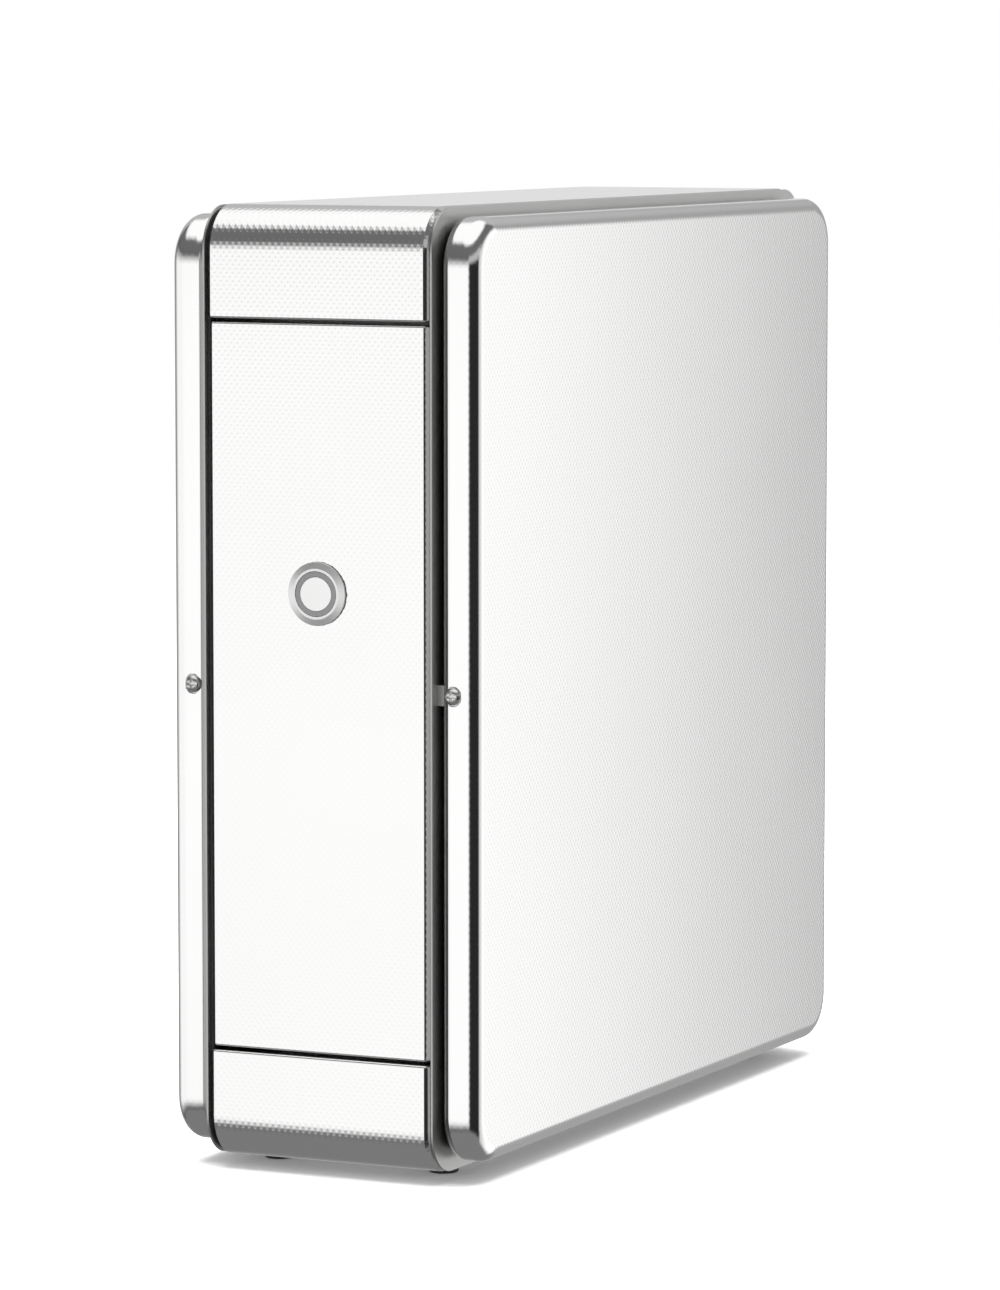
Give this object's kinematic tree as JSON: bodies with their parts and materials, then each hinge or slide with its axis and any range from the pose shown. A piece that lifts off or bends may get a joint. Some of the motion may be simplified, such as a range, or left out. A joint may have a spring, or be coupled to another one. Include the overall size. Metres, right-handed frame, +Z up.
{
  "type": "uv sterilizer cabinet",
  "caption": "Slim stainless UV tool steriliser tower with dished side covers, a pull-out rack behind the front panel and an illuminated start button.",
  "frame": {"origin": "on the floor, in the middle of the cabinet's footprint", "axes": "+Z up, the front with the button faces -Y, +X to the right seen from the front"},
  "size_m": [0.15, 0.4186, 0.428],
  "materials": {
    "band_steel": "linen-embossed stainless",
    "cover_steel": "linen-embossed stainless",
    "plate_steel": "satin stainless",
    "rack_steel": "satin stainless",
    "fastener_steel": "plain stainless",
    "rail_aluminium": "clear anodised",
    "nylon": "natural nylon",
    "lamp_glass": "clear quartz glass",
    "lamp_metal": "drawn cap",
    "pin_brass": "plated brass",
    "white_plastic": "moulded white",
    "reflector_metal": "polished sheet",
    "black_plastic": "moulded black",
    "spring_steel": "spring wire",
    "latch_metal": "zinc plated",
    "ballast_paint": "white powder coat",
    "board_green": "solder mask",
    "foot_rubber": "moulded rubber",
    "gasket_rubber": "closed-cell foam and rubber",
    "wire_jacket": "flexible jacket",
    "button_steel": "turned stainless",
    "button_cap_steel": "brushed stainless",
    "button_lens": "smoked light ring"
  },
  "bodies": {
    "housing": {"top_cap": "band_steel", "bottom_cap": "band_steel", "rear_panel": "band_steel", "side_plate_left": "plate_steel", "side_plate_right": "plate_steel", "cover_left": "cover_steel", "cover_right": "cover_steel", "side_gaskets": "gasket_rubber", "cover_screws": "fastener_steel", "cover_nuts": "fastener_steel", "rear_screws": "fastener_steel", "seal_frame": "plate_steel", "slide_channels": "rail_aluminium", "slide_glides": "nylon", "lamp_tubes": "lamp_glass", "lamp_caps": "lamp_metal", "lamp_pins": "pin_brass", "lampholders": "white_plastic", "reflectors": "reflector_metal", "bulkhead": "plate_steel", "latch_body": "black_plastic", "latch_spring": "spring_steel", "interlock_switch": "black_plastic", "dock_socket": "black_plastic", "ballast": "ballast_paint", "control_board": "board_green", "board_parts": "black_plastic", "board_standoffs": "black_plastic", "terminal_block": "white_plastic", "inlet": "black_plastic", "inlet_pins": "pin_brass", "inlet_rivets": "fastener_steel", "feet": "foot_rubber", "foot_screws": "fastener_steel", "foot_nuts": "fastener_steel", "lamp_wiring": "wire_jacket", "mains_wiring": "wire_jacket"},
    "drawer": {"front_panel": "band_steel", "drawer_liner": "plate_steel", "drawer_gasket": "gasket_rubber", "rack_side_left": "rack_steel", "rack_side_right": "rack_steel", "rack_back": "rack_steel", "tray_1": "rack_steel", "tray_2": "rack_steel", "tray_3": "rack_steel", "tray_4": "rack_steel", "rack_rails": "rail_aluminium", "strike_plate": "rack_steel", "dock_plug": "black_plastic", "button_bezel": "button_steel", "button_gasket": "gasket_rubber", "button_nut": "button_steel", "button_switch": "black_plastic", "button_terminals": "pin_brass", "button_cable": "wire_jacket", "button_spring": "spring_steel"},
    "start_button": {"button_cap": "button_cap_steel", "button_lens": "button_lens"},
    "latch": {"latch_plunger": "latch_metal"},
    "interlock": {"interlock_plunger": "nylon"}
  },
  "joints": [
    {"name": "drawer_slide", "type": "slide", "parent": "housing", "child": "drawer", "axis": [0, -1, 0], "range_m": [0, 0.24]},
    {"name": "button_press", "type": "slide", "parent": "drawer", "child": "start_button", "axis": [0, 1, 0], "range_m": [0, 0.0025], "stiffness_N_per_m": 800, "deforming": ["button_spring"]},
    {"name": "latch_push", "type": "slide", "parent": "housing", "child": "latch", "axis": [0, 1, 0], "range_m": [0, 0.003], "stiffness_N_per_m": 900, "deforming": ["latch_spring"]},
    {"name": "interlock_push", "type": "slide", "parent": "housing", "child": "interlock", "axis": [0, 1, 0], "range_m": [0, 0.0015], "stiffness_N_per_m": 600}
  ]
}
